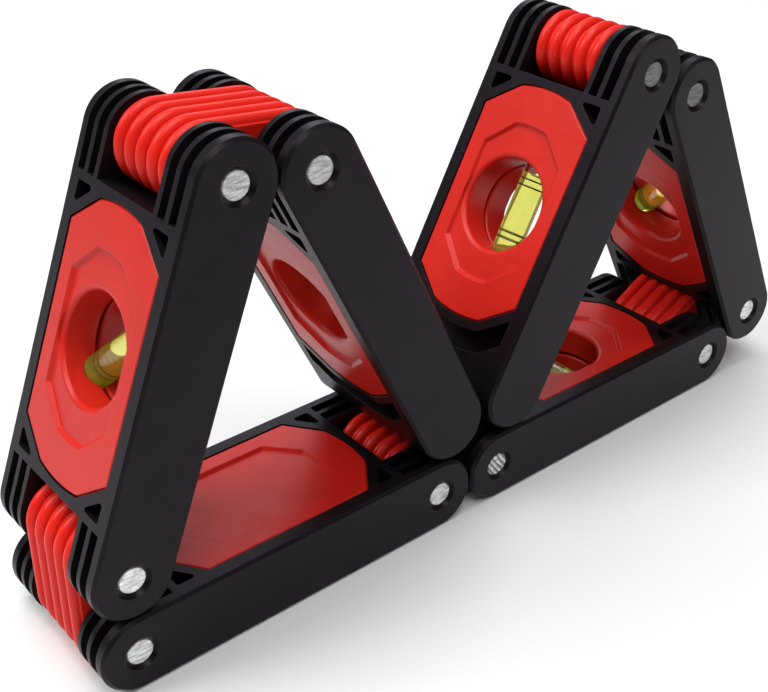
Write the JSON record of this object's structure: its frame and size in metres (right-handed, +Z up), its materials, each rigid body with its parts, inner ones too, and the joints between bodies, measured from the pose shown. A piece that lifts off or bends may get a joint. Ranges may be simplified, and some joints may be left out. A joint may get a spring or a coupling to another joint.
{
  "type": "folding spirit level",
  "caption": "Folding spirit level: black framed segments with red panels and vials in round sight holes, chained by ribbed double-pivot links so it folds flat or opens straight.",
  "frame": {"origin": "on the table under the middle of the folded level, at the bottom centre of its box", "axes": "+X along the level, from the end with the upright link to the end with the low link; +Y across its width, away from the side seen in the picture; +Z up"},
  "size_m": [0.2566, 0.05, 0.1331],
  "materials": {
    "black_plastic": "satin black moulded plastic, fine grain",
    "red_plastic": "satin orange-red moulded plastic",
    "steel": "sawn bare steel pin ends",
    "clear_vial": "clear polished acrylic",
    "vial_liquid": "clear yellow-green vial liquid"
  },
  "bodies": {
    "segment_a": {"frame_a": "black_plastic", "panel_a_outer": "red_plastic", "panel_a_inner": "red_plastic", "pin_a": "steel", "vial_a": "clear_vial", "plug_a": "clear_vial", "liquid_a": "vial_liquid"},
    "segment_b": {"frame_b": "black_plastic", "panel_b_outer": "red_plastic", "panel_b_inner": "red_plastic", "pin_b_high": "steel", "pin_b_low": "steel", "vial_b": "clear_vial", "plug_b": "clear_vial", "liquid_b": "vial_liquid"},
    "segment_c": {"frame_c": "black_plastic", "panel_c_outer": "red_plastic", "panel_c_inner": "red_plastic", "pin_c_left": "steel", "pin_c_right": "steel"},
    "segment_d": {"frame_d": "black_plastic", "panel_d_outer": "red_plastic", "panel_d_inner": "red_plastic", "pin_d_left": "steel", "pin_d_right": "steel", "vial_d": "clear_vial", "plug_d": "clear_vial", "liquid_d": "vial_liquid"},
    "segment_e": {"frame_e": "black_plastic", "panel_e_outer": "red_plastic", "panel_e_inner": "red_plastic", "pin_e_low": "steel", "pin_e_high": "steel", "vial_e": "clear_vial", "plug_e": "clear_vial", "liquid_e": "vial_liquid"},
    "segment_f": {"frame_f": "black_plastic", "panel_f_outer": "red_plastic", "panel_f_inner": "red_plastic", "pin_f": "steel", "vial_f": "clear_vial", "plug_f": "clear_vial", "liquid_f": "vial_liquid"},
    "link_ab_body": {"link_ab": "red_plastic"},
    "link_bc_body": {"link_bc": "red_plastic"},
    "link_cd_body": {"link_cd": "red_plastic"},
    "link_de_body": {"link_de": "red_plastic"},
    "link_ef_body": {"link_ef": "red_plastic"}
  },
  "joints": [
    {"name": "pivot_c_bc", "type": "hinge", "parent": "segment_c", "child": "link_bc_body", "pos_m": [-0.11748, 0, 0.0108], "axis": [0, -1, 0], "range_deg": [0, 91.7]},
    {"name": "pivot_bc_b", "type": "hinge", "parent": "link_bc_body", "child": "segment_b", "pos_m": [-0.11682, 0, 0.03309], "axis": [0, -1, 0], "range_deg": [0, 20.39]},
    {"name": "pivot_b_ab", "type": "hinge", "parent": "segment_b", "child": "link_ab_body", "pos_m": [-0.08061, 0, 0.12232], "axis": [0, -1, 0], "range_deg": [0, 74.51]},
    {"name": "pivot_ab_a", "type": "hinge", "parent": "link_ab_body", "child": "segment_a", "pos_m": [-0.05845, 0, 0.11976], "axis": [0, -1, 0], "range_deg": [0, 57.96]},
    {"name": "pivot_c_cd", "type": "hinge", "parent": "segment_c", "child": "link_cd_body", "pos_m": [-0.02118, 0, 0.0108], "axis": [0, -1, 0], "range_deg": [-90, 2]},
    {"name": "pivot_cd_d", "type": "hinge", "parent": "link_cd_body", "child": "segment_d", "pos_m": [0.00112, 0, 0.0108], "axis": [0, -1, 0], "range_deg": [-90, 2]},
    {"name": "pivot_d_de", "type": "hinge", "parent": "segment_d", "child": "link_de_body", "pos_m": [0.09742, 0, 0.0108], "axis": [0, 1, 0], "range_deg": [0, 25.9]},
    {"name": "pivot_de_e", "type": "hinge", "parent": "link_de_body", "child": "segment_e", "pos_m": [0.11748, 0, 0.02054], "axis": [0, 1, 0], "range_deg": [0, 90.88]},
    {"name": "pivot_e_ef", "type": "hinge", "parent": "segment_e", "child": "link_ef_body", "pos_m": [0.07409, 0, 0.10651], "axis": [0, 1, 0], "range_deg": [0, 35.62]},
    {"name": "pivot_ef_f", "type": "hinge", "parent": "link_ef_body", "child": "segment_f", "pos_m": [0.05433, 0, 0.11685], "axis": [0, 1, 0], "range_deg": [0, 88.38]}
  ],
  "couplings": [
    {"joint": "pivot_bc_b", "follows": "pivot_c_bc", "ratio": 0.22233},
    {"joint": "pivot_b_ab", "follows": "pivot_c_bc", "ratio": 0.81256},
    {"joint": "pivot_ab_a", "follows": "pivot_c_bc", "ratio": 0.63202},
    {"joint": "pivot_d_de", "follows": "pivot_de_e", "ratio": 0.285},
    {"joint": "pivot_e_ef", "follows": "pivot_de_e", "ratio": 0.39198},
    {"joint": "pivot_ef_f", "follows": "pivot_de_e", "ratio": 0.9725}
  ]
}
